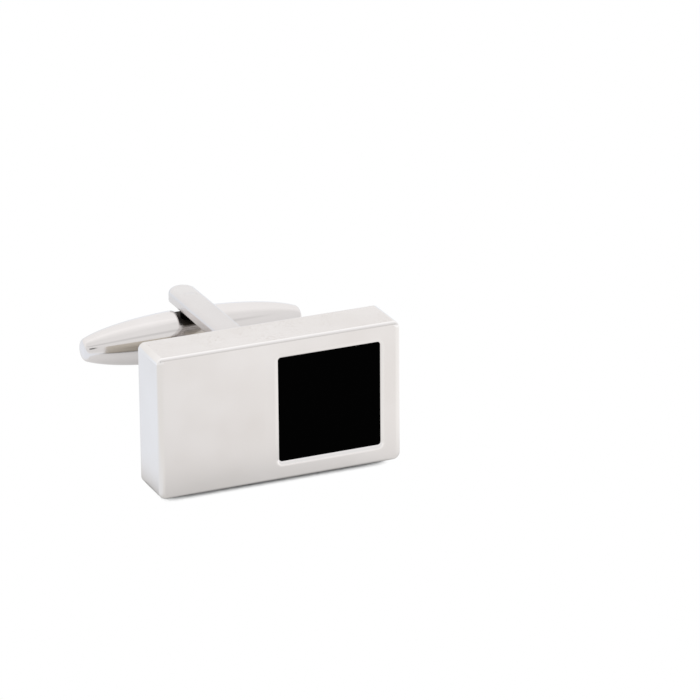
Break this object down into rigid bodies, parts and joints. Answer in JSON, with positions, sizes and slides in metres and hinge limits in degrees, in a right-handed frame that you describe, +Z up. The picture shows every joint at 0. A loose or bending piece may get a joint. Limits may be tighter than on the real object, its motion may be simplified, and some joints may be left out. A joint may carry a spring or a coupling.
{
  "type": "cufflink",
  "caption": "Cufflink with a rectangular plated head, a square black inlay set in its face, and a torpedo shaped toggle that swivels between the arms of a forked post.",
  "frame": {"origin": "middle of the head's back face, where the post stands and the cuff lies", "axes": "+X along the head towards its inlaid half, +Y back along the post towards the toggle, +Z up across the head"},
  "size_m": [0.0192, 0.0203, 0.011],
  "materials": {
    "plated_brass": "brass plated with a warm white metal and polished",
    "black_inlay": "black glossy tile, cemented in",
    "bare_brass": "machined, unplated",
    "spring_steel": "rolled strip"
  },
  "bodies": {
    "head": {"head_block": "plated_brass", "black_inlay": "black_inlay", "post_fork": "plated_brass", "pivot_pin": "plated_brass", "detent_cam": "bare_brass"},
    "toggle": {"toggle_body": "plated_brass", "leaf_spring": "spring_steel", "spring_keeper": "plated_brass"}
  },
  "joints": [
    {"name": "toggle_swivel", "type": "hinge", "parent": "head", "child": "toggle", "pos_m": [0, 0.0136, 0], "axis": [0, 0, 1], "continuous": true, "deforming": ["leaf_spring"]}
  ]
}
